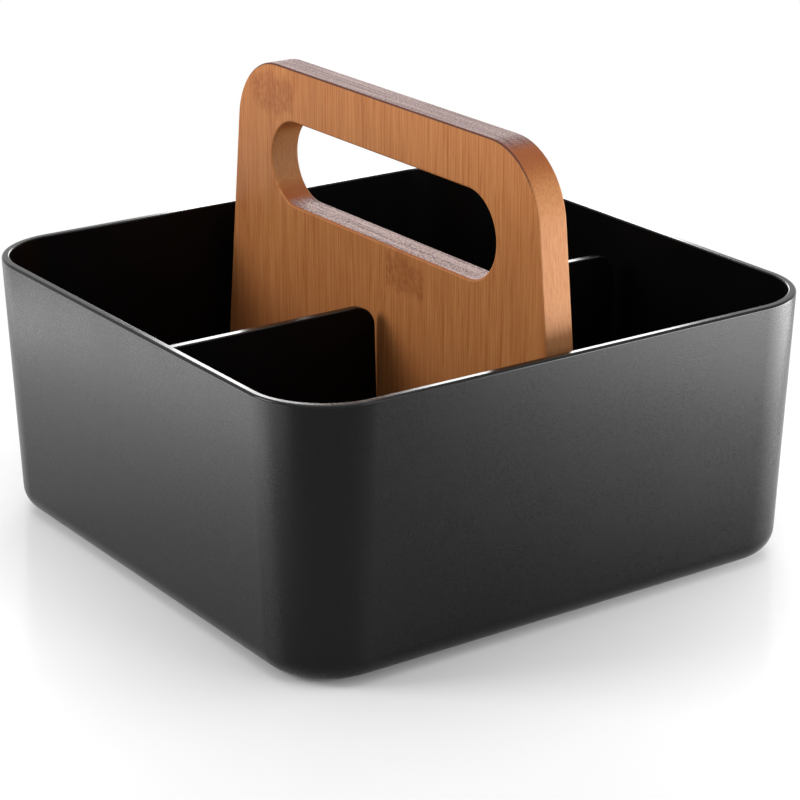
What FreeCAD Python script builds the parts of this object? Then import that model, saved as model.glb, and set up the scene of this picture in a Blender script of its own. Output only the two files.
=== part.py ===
"""Utensil caddy: an open square tub, a bamboo carrying board and two lift-out dividers.

Frame: +Z up, origin on the table under the centre of the caddy. Lengths are in millimetres.
The board stands in the plane x = 0 and the dividers in the plane y = 0.
"""
import FreeCAD, Part
import os

import Sketcher

SIZES = {
    # tub: one moulding, wider at the rim than at the floor
    "tub_width": 225.0,
    "rim_height": 101.0,
    "draft_angle": 2.35,
    "rim_corner_radius": 29.9,
    "wall": 3.0,
    "floor": 3.0,
    "outer_base_radius": 9.0,
    "inner_base_radius": 6.0,
    "rim_outer_round": 0.9,
    "rim_inner_round": 0.6,
    # carrying board: follows the tub's wall up to the knee, then narrows to the top
    "board_thickness": 12.0,
    "board_top": 165.2,
    "board_knee_height": 43.0,
    "board_taper_angle": 6.7,
    "board_side_gap": 0.8,
    "board_corner_radius": 27.5,
    "board_knee_radius": 60.0,
    "board_foot_radius": 9.0,
    "board_edge_round": 0.8,
    "hole_length": 142.0,
    "hole_height": 32.3,
    "hole_middle_height": 128.8,
    "hole_edge_round": 1.0,
    # ribs on the floor that the board and the dividers stand between
    "board_rib_thickness": 2.4,
    "board_rib_rise": 16.0,
    "board_rib_start": 14.0,
    "board_rib_length": 66.0,
    "divider_rib_thickness": 2.0,
    "divider_rib_rise": 10.0,
    "divider_rib_start": 16.0,
    "divider_rib_length": 78.0,
    "rib_round": 0.6,
    # dividers: plates that lift out
    "divider_thickness": 3.2,
    "divider_top": 89.3,
    "divider_slot_gap": 0.25,
    "divider_board_gap": 0.3,
    "divider_wall_gap": 0.7,
    "divider_inner_lean": 1.35,
    "divider_outer_lean": 0.6,
    "divider_corner_radius": 8.3,
    "divider_foot_radius": 8.0,
    "divider_edge_round": 0.5,
    # screws that hold the board, driven up through the tub's floor
    "screw_diameter": 4.0,
    "screw_head_diameter": 7.6,
    "screw_length": 32.0,
    "screw_spacing": 56.0,
    "screw_tip_length": 4.0,
    "screw_cross_length": 4.2,
    "screw_cross_width": 1.0,
    "screw_cross_depth": 1.4,
    "screw_clearance": 0.05,
    # feet: four pads in shallow recesses
    "foot_radius": 6.5,
    "foot_thickness": 2.0,
    "foot_proud": 1.0,
    "foot_place": 82.0,
    "foot_clearance": 0.2,
    "foot_round": 0.5,
}

SCREW_STEPS = (-1, 0, 1)
SIGNS = (-1, 1)
TOLERANCE = 1e-4

# Expressions that several pieces share; sizes is the sheet.
FLOOR_TOP = "(sizes.foot_proud + sizes.floor)"
DRAFT = "tan(sizes.draft_angle * 1 deg)"
INNER_HALF = "(sizes.tub_width / 2 - sizes.wall)"
INNER_HALF_AT_FLOOR = f"({INNER_HALF} - (sizes.rim_height - {FLOOR_TOP}) * {DRAFT})"
OUTER_DROP = f"((sizes.rim_height - sizes.foot_proud) * {DRAFT})"

doc = FreeCAD.newDocument("utensil_caddy")


def make_sheet():
    """Write the driving dimensions as plain numbers, each cell with an alias."""
    sheet = doc.addObject("Spreadsheet::Sheet", "sizes")
    for row, (name, number) in enumerate(SIZES.items(), start=1):
        sheet.set(f"A{row}", name)
        sheet.set(f"B{row}", str(number))
        sheet.setAlias(f"B{row}", name)
    doc.recompute()
    return sheet


def value(expression):
    """The number that an expression on the sheet's cells gives."""
    return float(doc.getObject("sizes").evalExpression(expression))


# Sketches ------------------------------------------------------------------------------------


def make_body(label):
    body = doc.addObject("PartDesign::Body", label)
    body.Label = label
    return body


def make_sketch(body, name, plane, offset=None):
    """A sketch on one of the body's origin planes, moved along the plane's normal by offset."""
    sketch = body.newObject("Sketcher::SketchObject", name)
    support = next(f for f in body.Origin.OriginFeatures if f.Role == plane)
    sketch.AttachmentSupport = [(support, "")]
    sketch.MapMode = "FlatFace"
    if offset is not None:
        sketch.setExpression(".AttachmentOffset.Base.z", offset)
    return sketch


def drive(sketch, constraint, expression):
    """Add one dimension and bind it to the sheet."""
    index = sketch.addConstraint(constraint)
    sketch.setExpression(f"Constraints[{index}]", expression)


def place(sketch, geometry, point, x, y):
    """Bind one point's two coordinates; a coordinate of "0" lies on the axis."""
    for kind, axis, expression in (("DistanceX", -2, x), ("DistanceY", -1, y)):
        number = value(expression)
        if expression == "0":
            sketch.addConstraint(Sketcher.Constraint("PointOnObject", geometry, point, axis))
        elif number < 0:
            constraint = Sketcher.Constraint(kind, geometry, point, -1, 1, -number)
            drive(sketch, constraint, f"-({expression})")
        else:
            drive(sketch, Sketcher.Constraint(kind, -1, 1, geometry, point, number), expression)


def draw_polygon(sketch, corners):
    """A closed polygon through corners given as pairs of expressions."""
    vectors = [FreeCAD.Vector(value(x), value(y), 0) for x, y in corners]
    count = len(vectors)
    first = sketch.GeometryCount
    for i in range(count):
        sketch.addGeometry(Part.LineSegment(vectors[i], vectors[(i + 1) % count]))
    for i in range(count):
        after = first + (i + 1) % count
        sketch.addConstraint(Sketcher.Constraint("Coincident", first + i, 2, after, 1))
    for i, (x, y) in enumerate(corners):
        place(sketch, first + i, 1, x, y)


def draw_rectangle(sketch, x0, y0, x1, y1):
    draw_polygon(sketch, [(x0, y0), (x1, y0), (x1, y1), (x0, y1)])


def draw_circle(sketch, x, y, radius):
    centre = FreeCAD.Vector(value(x), value(y), 0)
    circle = sketch.addGeometry(Part.Circle(centre, FreeCAD.Vector(0, 0, 1), value(radius)))
    place(sketch, circle, 3, x, y)
    drive(sketch, Sketcher.Constraint("Radius", circle, value(radius)), radius)


def draw_rounded_polygon(sketch, centres, radius):
    """Equal arcs about centres, given anticlockwise as pairs of expressions, and their tangents."""
    points = [FreeCAD.Vector(value(x), value(y), 0) for x, y in centres]
    count = len(points)
    bulge = value(radius)
    up = FreeCAD.Vector(0, 0, 1)
    outward = []
    for i in range(count):
        side = points[(i + 1) % count] - points[i]
        outward.append(side.cross(up).normalize())
    first = sketch.GeometryCount
    for i in range(count):
        circle = Part.Circle(points[i], up, bulge)
        start = circle.parameter(points[i] + outward[i - 1] * bulge)
        end = circle.parameter(points[i] + outward[i] * bulge)
        sketch.addGeometry(Part.ArcOfCircle(circle, start, end))
    for i in range(count):
        after = points[(i + 1) % count]
        line = Part.LineSegment(points[i] + outward[i] * bulge, after + outward[i] * bulge)
        sketch.addGeometry(line)
    for i in range(count):
        arc, line, after = first + i, first + count + i, first + (i + 1) % count
        sketch.addConstraint(Sketcher.Constraint("Tangent", arc, 2, line, 1))
        sketch.addConstraint(Sketcher.Constraint("Tangent", line, 2, after, 1))
    for i, (x, y) in enumerate(centres):
        place(sketch, first + i, 3, x, y)
    drive(sketch, Sketcher.Constraint("Radius", first, bulge), radius)


def draw_rounded_square(sketch, half, radius):
    reach = f"({half} - {radius})"
    back = f"-({half} - {radius})"
    corners = [(back, back), (reach, back), (reach, reach), (back, reach)]
    draw_rounded_polygon(sketch, corners, radius)


# Features ------------------------------------------------------------------------------------


def pad(body, sketch, length, symmetric=False, taper=None):
    feature = body.newObject("PartDesign::Pad", sketch.Name + "_pad")
    feature.Profile = sketch
    feature.setExpression("Length", length)
    feature.SideType = "Symmetric" if symmetric else "One side"
    if taper is not None:
        feature.setExpression("TaperAngle", taper)
    doc.recompute()
    return feature


def pocket(body, sketch, length, symmetric=False, upward=False, taper=None):
    """Cut a sketch's area out of the body and make sure that something was cut."""
    before = body.Shape.Volume
    feature = body.newObject("PartDesign::Pocket", sketch.Name + "_pocket")
    feature.Profile = sketch
    feature.setExpression("Length", length)
    feature.SideType = "Symmetric" if symmetric else "One side"
    feature.Reversed = upward
    if taper is not None:
        feature.setExpression("TaperAngle", taper)
    doc.recompute()
    if not body.Shape.Volume < before - TOLERANCE:
        raise RuntimeError(f"{feature.Name} cut nothing")
    return feature


def fillet(body, name, radius, chosen):
    """Round the edges of the body's tip that the test chosen picks."""
    base = body.Tip
    names = [f"Edge{i}" for i, edge in enumerate(base.Shape.Edges, start=1) if chosen(edge)]
    if not names:
        raise RuntimeError(f"{name}: no edge to round")
    feature = body.newObject("PartDesign::Fillet", name)
    feature.Base = (base, names)
    feature.setExpression("Radius", radius)
    doc.recompute()
    return feature


def lies_at(edge, axis, level):
    """Whether an edge lies all in the plane where one coordinate has this value."""
    low = getattr(edge.BoundBox, axis + "Min")
    high = getattr(edge.BoundBox, axis + "Max")
    return abs(low - level) < TOLERANCE and abs(high - level) < TOLERANCE


def is_corner(edge, axis, first, second):
    """Whether a straight edge runs along axis through one point of the plane across it."""
    middle = edge.BoundBox.Center
    others = [a for a in "XYZ" if a != axis]
    place_matches = all(
        abs(getattr(middle, a.lower()) - level) < TOLERANCE
        for a, level in zip(others, (first, second))
    )
    return place_matches and getattr(edge.BoundBox, axis + "Length") > TOLERANCE


# Pieces --------------------------------------------------------------------------------------


def make_tub():
    body = make_body("tub")
    shell = make_sketch(body, "tub_outside", "XY_Plane", "sizes.foot_proud")
    draw_rounded_square(
        shell,
        f"(sizes.tub_width / 2 - {OUTER_DROP})",
        f"(sizes.rim_corner_radius - {OUTER_DROP})",
    )
    pad(body, shell, "sizes.rim_height - sizes.foot_proud", taper="sizes.draft_angle")
    base = value("sizes.foot_proud")
    fillet(body, "outer_base", "sizes.outer_base_radius", lambda e: lies_at(e, "Z", base))

    cavity = make_sketch(body, "tub_inside", "XY_Plane", "sizes.rim_height")
    draw_rounded_square(cavity, INNER_HALF, "(sizes.rim_corner_radius - sizes.wall)")
    pocket(body, cavity, f"sizes.rim_height - {FLOOR_TOP}", taper="-sizes.draft_angle")
    floor = value(FLOOR_TOP)
    fillet(body, "inner_base", "sizes.inner_base_radius", lambda e: lies_at(e, "Z", floor))

    round_rim(body)
    add_ribs(body)
    cut_screw_holes(body)
    cut_foot_recesses(body)
    return body


def round_rim(body):
    """Soften the rim's outer edge more than its inner edge."""
    rim = value("sizes.rim_height")
    middle = value("sizes.tub_width / 2 - sizes.wall / 2")

    def outside(edge):
        box = edge.BoundBox
        reach = max(box.XMax, box.YMax, -box.XMin, -box.YMin)
        return lies_at(edge, "Z", rim) and reach > middle

    def inside(edge):
        box = edge.BoundBox
        reach = max(box.XMax, box.YMax, -box.XMin, -box.YMin)
        return lies_at(edge, "Z", rim) and reach < middle

    fillet(body, "rim_outer_edge", "sizes.rim_outer_round", outside)
    fillet(body, "rim_inner_edge", "sizes.rim_inner_round", inside)


def add_ribs(body):
    """Pairs of floor ribs: the board stands between four, each divider between two."""
    board = make_sketch(body, "board_ribs", "XY_Plane", FLOOR_TOP)
    near = "sizes.board_thickness / 2"
    far = "sizes.board_thickness / 2 + sizes.board_rib_thickness"
    start = "sizes.board_rib_start"
    end = "sizes.board_rib_start + sizes.board_rib_length"
    for side in SIGNS:
        for way in SIGNS:
            draw_rectangle(
                board,
                f"{side} * ({near})",
                f"{way} * ({start})",
                f"{side} * ({far})",
                f"{way} * ({end})",
            )
    pad(body, board, "sizes.board_rib_rise")

    divider = make_sketch(body, "divider_ribs", "XY_Plane", FLOOR_TOP)
    near = "sizes.divider_thickness / 2 + sizes.divider_slot_gap"
    far = "sizes.divider_thickness / 2 + sizes.divider_slot_gap + sizes.divider_rib_thickness"
    start = "sizes.divider_rib_start"
    end = "sizes.divider_rib_start + sizes.divider_rib_length"
    for side in SIGNS:
        for way in SIGNS:
            draw_rectangle(
                divider,
                f"{side} * ({start})",
                f"{way} * ({near})",
                f"{side} * ({end})",
                f"{way} * ({far})",
            )
    pad(body, divider, "sizes.divider_rib_rise")
    board_crest = value(f"{FLOOR_TOP} + sizes.board_rib_rise")
    divider_crest = value(f"{FLOOR_TOP} + sizes.divider_rib_rise")
    fillet(body, "board_rib_crests", "sizes.rib_round", lambda e: lies_at(e, "Z", board_crest))
    fillet(body, "divider_rib_crests", "sizes.rib_round", lambda e: lies_at(e, "Z", divider_crest))


def cut_screw_holes(body):
    """Through holes with 45 degree countersinks on the underside."""
    shank = "(sizes.screw_diameter / 2 + sizes.screw_clearance)"
    head = "(sizes.screw_head_diameter / 2 + sizes.screw_clearance)"
    holes = make_sketch(body, "screw_holes", "XY_Plane", "sizes.foot_proud")
    for step in SCREW_STEPS:
        draw_circle(holes, "0", screw_place(step), shank)
    pocket(body, holes, "sizes.floor", upward=True)
    sinks = make_sketch(body, "countersinks", "XY_Plane", "sizes.foot_proud")
    for step in SCREW_STEPS:
        draw_circle(sinks, "0", screw_place(step), head)
    pocket(body, sinks, f"{head} - {shank}", upward=True, taper="-45")


def screw_place(step):
    return "0" if step == 0 else f"{step} * sizes.screw_spacing"


def cut_foot_recesses(body):
    recesses = make_sketch(body, "foot_recesses", "XY_Plane", "sizes.foot_proud")
    for side in SIGNS:
        for way in SIGNS:
            draw_circle(
                recesses,
                f"{side} * sizes.foot_place",
                f"{way} * sizes.foot_place",
                "sizes.foot_radius + sizes.foot_clearance",
            )
    pocket(body, recesses, "sizes.foot_thickness - sizes.foot_proud", upward=True)


def make_board():
    body = make_body("handle_board")
    foot_half = f"({INNER_HALF_AT_FLOOR} - sizes.board_side_gap)"
    knee_half = f"({foot_half} + (sizes.board_knee_height - {FLOOR_TOP}) * {DRAFT})"
    rise = "(sizes.board_top - sizes.board_knee_height)"
    top_half = f"({knee_half} - {rise} * tan(sizes.board_taper_angle * 1 deg))"
    corners = [
        (foot_half, FLOOR_TOP),
        (knee_half, "sizes.board_knee_height"),
        (top_half, "sizes.board_top"),
        (f"-{top_half}", "sizes.board_top"),
        (f"-{knee_half}", "sizes.board_knee_height"),
        (f"-{foot_half}", FLOOR_TOP),
    ]
    outline = make_sketch(body, "board_outline", "YZ_Plane")
    draw_polygon(outline, corners)
    pad(body, outline, "sizes.board_thickness", symmetric=True)

    for name, radius, half, height in (
        ("board_top_corners", "sizes.board_corner_radius", top_half, "sizes.board_top"),
        ("board_knees", "sizes.board_knee_radius", knee_half, "sizes.board_knee_height"),
        ("board_foot_corners", "sizes.board_foot_radius", foot_half, FLOOR_TOP),
    ):
        reach = value(half)
        level = value(height)
        fillet(
            body,
            name,
            radius,
            lambda e: is_corner(e, "X", reach, level) or is_corner(e, "X", -reach, level),
        )

    cut_hand_hole(body)
    bores = make_sketch(body, "screw_bores", "XY_Plane", FLOOR_TOP)
    for step in SCREW_STEPS:
        draw_circle(bores, "0", screw_place(step), "sizes.screw_diameter / 2 + sizes.screw_clearance")
    pocket(body, bores, "sizes.screw_length - sizes.floor + sizes.screw_clearance", upward=True)
    return body


def cut_hand_hole(body):
    """Round the board's outline, then cut the hand hole and round its two rims."""
    face = value("sizes.board_thickness / 2")

    def on_face(edge):
        return lies_at(edge, "X", face) or lies_at(edge, "X", -face)

    fillet(body, "board_edges", "sizes.board_edge_round", on_face)
    radius = "(sizes.hole_height / 2)"
    end = "(sizes.hole_length / 2 - sizes.hole_height / 2)"
    middle = "sizes.hole_middle_height"
    hole = make_sketch(body, "hand_hole", "YZ_Plane")
    draw_rounded_polygon(hole, [(f"-{end}", middle), (end, middle)], radius)
    pocket(body, hole, "sizes.board_thickness * 2", symmetric=True)
    middle_height = value("sizes.hole_middle_height")
    half_height = value("sizes.hole_height / 2")
    half_length = value("sizes.hole_length / 2")

    def hole_rim(edge):
        box = edge.BoundBox
        low = middle_height - half_height - TOLERANCE
        high = middle_height + half_height + TOLERANCE
        reach = half_length + TOLERANCE
        return on_face(edge) and low < box.ZMin and box.ZMax < high and box.YLength < 2 * reach

    fillet(body, "hand_hole_rims", "sizes.hole_edge_round", hole_rim)


def make_divider(label, side):
    """One plate; side is -1 for the left and 1 for the right."""
    body = make_body(label)
    rise = f"(sizes.divider_top - {FLOOR_TOP})"
    inner = "(sizes.board_thickness / 2 + sizes.divider_board_gap)"
    outer = f"({INNER_HALF_AT_FLOOR} - sizes.divider_wall_gap)"
    inner_top = f"({inner} + {rise} * tan(sizes.divider_inner_lean * 1 deg))"
    outer_top = f"({outer} - {rise} * tan(sizes.divider_outer_lean * 1 deg))"
    corners = [
        (f"{side} * {inner}", FLOOR_TOP),
        (f"{side} * {outer}", FLOOR_TOP),
        (f"{side} * {outer_top}", "sizes.divider_top"),
        (f"{side} * {inner_top}", "sizes.divider_top"),
    ]
    outline = make_sketch(body, label + "_outline", "XZ_Plane")
    draw_polygon(outline, corners)
    pad(body, outline, "sizes.divider_thickness", symmetric=True)
    top = value("sizes.divider_top")
    floor = value(FLOOR_TOP)
    tops = [value(f"{side} * {inner_top}"), value(f"{side} * {outer_top}")]
    foot = value(f"{side} * {outer}")
    fillet(
        body,
        label + "_top_corners",
        "sizes.divider_corner_radius",
        lambda e: any(is_corner(e, "Y", x, top) for x in tops),
    )
    fillet(
        body,
        label + "_foot_corner",
        "sizes.divider_foot_radius",
        lambda e: is_corner(e, "Y", foot, floor),
    )
    face = value("sizes.divider_thickness / 2")
    fillet(
        body,
        label + "_edges",
        "sizes.divider_edge_round",
        lambda e: lies_at(e, "Y", face) or lies_at(e, "Y", -face),
    )
    return body


def make_screws():
    """Three countersunk wood screws, points up, heads flush with the tub's underside."""
    body = make_body("board_screws")
    shank = "(sizes.screw_diameter / 2)"
    head = "(sizes.screw_head_diameter / 2)"
    base = "sizes.foot_proud"
    profile = make_sketch(body, "screw_profile", "XZ_Plane", "sizes.screw_spacing")
    draw_polygon(
        profile,
        [
            ("0", base),
            (head, base),
            (shank, f"{base} + {head} - {shank}"),
            (shank, f"{base} + sizes.screw_length - sizes.screw_tip_length"),
            ("0", f"{base} + sizes.screw_length"),
        ],
    )
    turned = body.newObject("PartDesign::Revolution", "screw_turned")
    turned.Profile = profile
    turned.ReferenceAxis = (profile, ["V_Axis"])
    turned.Angle = 360
    doc.recompute()
    cross = make_sketch(body, "screw_cross", "XY_Plane", base)
    draw_cross(cross, "-sizes.screw_spacing", "sizes.screw_cross_length", "sizes.screw_cross_width")
    recess = pocket(body, cross, "sizes.screw_cross_depth", upward=True)
    row = body.newObject("PartDesign::LinearPattern", "screw_row")
    row.Originals = [turned, recess]
    row.Direction = (profile, ["N_Axis"])
    row.Reversed = True
    row.setExpression("Length", "sizes.screw_spacing * 2")
    row.Occurrences = len(SCREW_STEPS)
    body.Tip = row
    doc.recompute()
    return body


def draw_cross(sketch, y, length, width):
    """A driver's cross about the point (0, y)."""
    arm = f"({length} / 2)"
    half = f"({width} / 2)"
    corners = [
        (half, f"-{arm}"),
        (half, f"-{half}"),
        (arm, f"-{half}"),
        (arm, half),
        (half, half),
        (half, arm),
        (f"-{half}", arm),
        (f"-{half}", half),
        (f"-{arm}", half),
        (f"-{arm}", f"-{half}"),
        (f"-{half}", f"-{half}"),
        (f"-{half}", f"-{arm}"),
    ]
    draw_polygon(sketch, [(x, f"{y} + {dy}") for x, dy in corners])


def make_feet():
    body = make_body("feet")
    discs = make_sketch(body, "foot_discs", "XY_Plane")
    for side in SIGNS:
        for way in SIGNS:
            draw_circle(
                discs, f"{side} * sizes.foot_place", f"{way} * sizes.foot_place", "sizes.foot_radius"
            )
    pad(body, discs, "sizes.foot_thickness")
    fillet(body, "foot_edges", "sizes.foot_round", lambda e: lies_at(e, "Z", 0))
    return body


def check_objects():
    """Stop on any object that failed without raising."""
    for item in doc.Objects:
        if "Invalid" in item.State or "Error" in item.State:
            raise RuntimeError(f"{item.Name}: {item.State}")


def export_pieces(pieces):
    for piece in pieces:
        if piece.Shape.isNull() or not piece.Shape.isValid():
            raise RuntimeError(f"{piece.Label}: bad shape")
    os.makedirs("parts", exist_ok=True)
    for piece in pieces:
        piece.Shape.exportStep(f"parts/{piece.Label}.step")
        box = piece.Shape.BoundBox
        solids = len(piece.Shape.Solids)
        print(f"{piece.Label}: {solids} solids, {piece.Shape.Volume:.0f} mm3, {box}")


def main():
    make_sheet()
    pieces = [
        make_tub(),
        make_board(),
        make_divider("left_divider", -1),
        make_divider("right_divider", 1),
        make_screws(),
        make_feet(),
    ]
    doc.recompute()
    check_objects()
    export_pieces(pieces)


main()
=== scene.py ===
"""Utensil caddy: a moulded tub, a bamboo carrying board, two lift-out dividers, screws and feet.

Laid out as an add-on, and run as a script. Lengths are in metres: +Z is up, and the origin is
on the table under the centre of the caddy.
"""
import math

import bmesh
import bpy
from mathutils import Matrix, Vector


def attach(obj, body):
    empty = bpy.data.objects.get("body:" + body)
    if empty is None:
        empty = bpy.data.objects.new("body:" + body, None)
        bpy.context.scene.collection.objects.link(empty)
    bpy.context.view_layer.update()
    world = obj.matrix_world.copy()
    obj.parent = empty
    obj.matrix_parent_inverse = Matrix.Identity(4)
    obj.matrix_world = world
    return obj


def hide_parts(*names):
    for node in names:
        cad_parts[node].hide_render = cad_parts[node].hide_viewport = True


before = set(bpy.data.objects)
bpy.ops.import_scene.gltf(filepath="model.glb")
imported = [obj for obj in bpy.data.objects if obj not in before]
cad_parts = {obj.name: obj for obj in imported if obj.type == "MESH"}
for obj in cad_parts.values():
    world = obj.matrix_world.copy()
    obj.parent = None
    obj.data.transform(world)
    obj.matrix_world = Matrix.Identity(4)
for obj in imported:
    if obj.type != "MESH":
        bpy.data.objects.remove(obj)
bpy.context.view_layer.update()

bl_info = {
    "name": "Utensil Caddy",
    "version": (1, 0, 0),
    "blender": (4, 5, 0),
    "location": "3D View > Sidebar > Caddy",
    "description": "Makes a moulded caddy with a bamboo carrying board and lift-out dividers",
    "category": "Add Mesh",
}

MILLIMETRE = 0.001
QUARTER_TURN = math.pi / 2
QUARTERS = ((1, 1), (-1, 1), (-1, -1), (1, -1))
UP, DOWN = Vector((0, 0, 1)), Vector((0, 0, -1))
# how far a rib or a cutter goes past the surface it meets
OVERLAP = 0.5 * MILLIMETRE
# steps round a screw, a foot and a bore, and the angle of one step on an outline
SCREW_STEPS, FOOT_STEPS, BORE_STEPS = 48, 64, 32
OUTLINE_STEP = math.radians(3.75)
# steps across a rounded edge, and along a quarter of one of the tub's rings
EDGE_STEPS = 5
RING_STEPS = 28

# zones of the tub's surface, which are also its material slots
OUTSIDE, LIP, INSIDE = 0, 1, 2
# tone of the plastic inside the tub and on the dividers, against that of the tub's outside
INSIDE_TONE = 0.75

# bamboo strips are counted from the start, and the end strips take in the board's sides
STRIP_START = -0.2275
STRIP_RANGE = (-0.084, 0.11)
# painted shade low on the board's faces, standing in for the tub's shade: the heights where it sets
# in, and where it is full
LOW_PAINTED_SHADE = (0.100, 0.055)
# heights between which the end grain and the edges turn from the hand hole's to the top's; the hand
# hole's end grain is paler, a painted sheen of the light that glances into it
TOP_GRAIN = (0.146, 0.152)
TOP_FOLD = (0.148, 0.152)
# side of the board (-1 left, 1 right), start and end along it, height, half height
KNUCKLES = (
    (-1, 0.0555, 0.0838, 0.1535, 0.0085),
    (-1, -0.0290, -0.0050, 0.1040, 0.0085),
    (1, -0.0294, -0.0011, 0.0830, 0.0080),
    (1, 0.0272, 0.0555, 0.1540, 0.0080),
)
# width of a knuckle's upright borders, and height by which its other two wander
KNUCKLE_BORDER = 0.0006
KNUCKLE_WANDER = 0.014

# the floor fades to white between two distances from a square of this half width
FADE_SQUARE = 0.07
FADE = (0.10, 0.34)
SENSOR_WIDTH = 36.0
# lamps: name, azimuth and elevation in degrees, distance, size, radiance, and the point faced
MIDDLE = (0.0, 0.0, 0.05)
NEAR_TABLE = (0.0, 0.0, 0.012)
LAMPS = (
    ("back_softbox", 54, 20.5, 1.2, (0.42, 0.24), 9.2, MIDDLE),
    ("top_softbox", 90, 88, 1.2, (1.3, 1.3), 1.25, MIDDLE),
    ("side_softbox", 157, 26, 1.05, (0.42, 0.40), 9.9, MIDDLE),
    ("front_softbox", 288, 20, 1.1, (0.40, 0.26), 5.0, MIDDLE),
    ("left_far_panel", 146, 0, 0.29, (0.58, 0.021), 1.4, NEAR_TABLE),
    ("left_panel", 168, 0, 0.22, (0.36, 0.036), 3.0, (0.0, 0.10, 0.020)),
    ("near_panel", 173, 0, 0.29, (0.30, 0.045), 3.5, (0.0, -0.01, 0.024)),
    ("right_panel", 318, 0, 0.36, (0.36, 0.08), 16.4, (0.0, 0.0, 0.045)),
    ("right_low_panel", 318, 0, 0.30, (0.40, 0.021), 6.0, NEAR_TABLE),
)


# --- Sizes and finishes ---


def length(name, text, default):
    facts = {"name": name, "description": text, "default": default}
    return bpy.props.FloatProperty(**facts, precision=5, unit="LENGTH", subtype="DISTANCE")


def angle(name, text, degrees):
    facts = {"name": name, "description": text, "default": math.radians(degrees)}
    return bpy.props.FloatProperty(**facts, unit="ROTATION", subtype="ANGLE")


def colour(name, text, default):
    return bpy.props.FloatVectorProperty(
        name=name, description=text, default=default, min=0.0, max=1.0, subtype="COLOR"
    )


def number(name, text, default):
    return bpy.props.FloatProperty(name=name, description=text, default=default)


def vector(name, text, default):
    return bpy.props.FloatVectorProperty(
        name=name, description=text, default=default, unit="LENGTH"
    )


class TubSizes(bpy.types.PropertyGroup):
    width: length("Width", "Outer width at the rim", 0.225)
    rim: length("Rim height", "Height of the rim above the table", 0.101)
    base: length("Base height", "Height of the underside above the table", 0.001)
    draft: angle("Draft", "Outward lean of each wall", 2.35)
    corner: length("Corner radius", "Outer corner radius at the rim", 0.0299)
    wall: length("Wall", "Wall thickness", 0.003)
    floor: length("Floor", "Floor thickness", 0.003)
    outer_base: length("Outer base round", "Round between wall and underside", 0.009)
    inner_base: length("Inner base round", "Round between wall and floor", 0.006)
    outer_lip: length("Outer lip round", "Round of the rim's outer edge", 0.0009)
    inner_lip: length("Inner lip round", "Round of the rim's inner edge", 0.0006)
    board_rib: vector(
        "Board rib", "Thickness, length and rise of a rib beside the board", (0.0024, 0.066, 0.016)
    )
    board_rib_start: length("Board rib start", "Distance of a board rib from the middle", 0.014)
    divider_rib: vector(
        "Divider rib", "Length, thickness and rise of a rib beside a divider", (0.078, 0.002, 0.010)
    )
    divider_rib_start: length(
        "Divider rib start", "Distance of a divider rib from the middle", 0.016
    )
    rib_round: length("Rib round", "Round of a rib's crest", 0.0006)


class BoardSizes(bpy.types.PropertyGroup):
    thickness: length("Thickness", "Thickness of the board", 0.012)
    top: length("Top", "Height of the board's top above the table", 0.1652)
    knee: length("Knee height", "Height at which the board starts to narrow", 0.043)
    taper: angle("Taper", "Inward lean of each side above the knee", 6.7)
    side_gap: length("Side gap", "Gap between the board and the tub's wall", 0.0008)
    top_corner: length("Top corner", "Radius of the two top corners", 0.0275)
    knee_round: length("Knee round", "Radius of the outline at the knee", 0.060)
    foot_corner: length("Foot corner", "Radius of the two corners on the floor", 0.009)
    edge_round: length("Edge round", "Round of the outline's edges", 0.0008)
    hole_length: length("Hole length", "Length of the hand hole", 0.142)
    hole_height: length("Hole height", "Height of the hand hole", 0.0323)
    hole_middle: length("Hole middle", "Height of the hand hole's middle above the table", 0.1288)
    hole_round: length("Hole round", "Round of the hand hole's edges", 0.001)


class DividerSizes(bpy.types.PropertyGroup):
    thickness: length("Thickness", "Thickness of a divider", 0.0032)
    top: length("Top", "Height of a divider's top above the table", 0.0893)
    slot_gap: length("Slot gap", "Gap between a divider and the ribs beside it", 0.00025)
    board_gap: length("Board gap", "Gap between a divider's foot and the board", 0.0003)
    wall_gap: length("Wall gap", "Gap between a divider's foot and the tub's wall", 0.0007)
    inner_lean: angle("Inner lean", "Lean of the end beside the board", 1.35)
    outer_lean: angle("Outer lean", "Lean of the end beside the wall", 0.6)
    top_corner: length("Top corner", "Radius of the two top corners", 0.0083)
    foot_corner: length("Foot corner", "Radius of the outer foot corner", 0.008)
    edge_round: length("Edge round", "Round of the outline's edges", 0.0005)


class FastenerSizes(bpy.types.PropertyGroup):
    shank: length("Screw shank", "Radius of a screw's shank", 0.002)
    head: length("Screw head", "Radius of a screw's head", 0.0038)
    screw: length("Screw length", "Length of a screw", 0.032)
    tip: length("Screw tip", "Length of a screw's point", 0.004)
    spacing: length("Screw spacing", "Distance between two screws", 0.056)
    clearance: length("Clearance", "Gap between a screw and its hole", 0.00005)
    cross: vector(
        "Cross recess",
        "Length, width and depth of the recess for the driver",
        (0.0042, 0.001, 0.0014),
    )
    foot: length("Foot radius", "Radius of a foot", 0.0065)
    foot_thickness: length("Foot thickness", "Thickness of a foot", 0.002)
    foot_place: length("Foot place", "Distance of a foot from each middle plane", 0.082)
    foot_clearance: length("Foot clearance", "Gap between a foot and its recess", 0.0002)
    foot_round: length("Foot round", "Round of a foot's lower edge", 0.0005)


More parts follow.
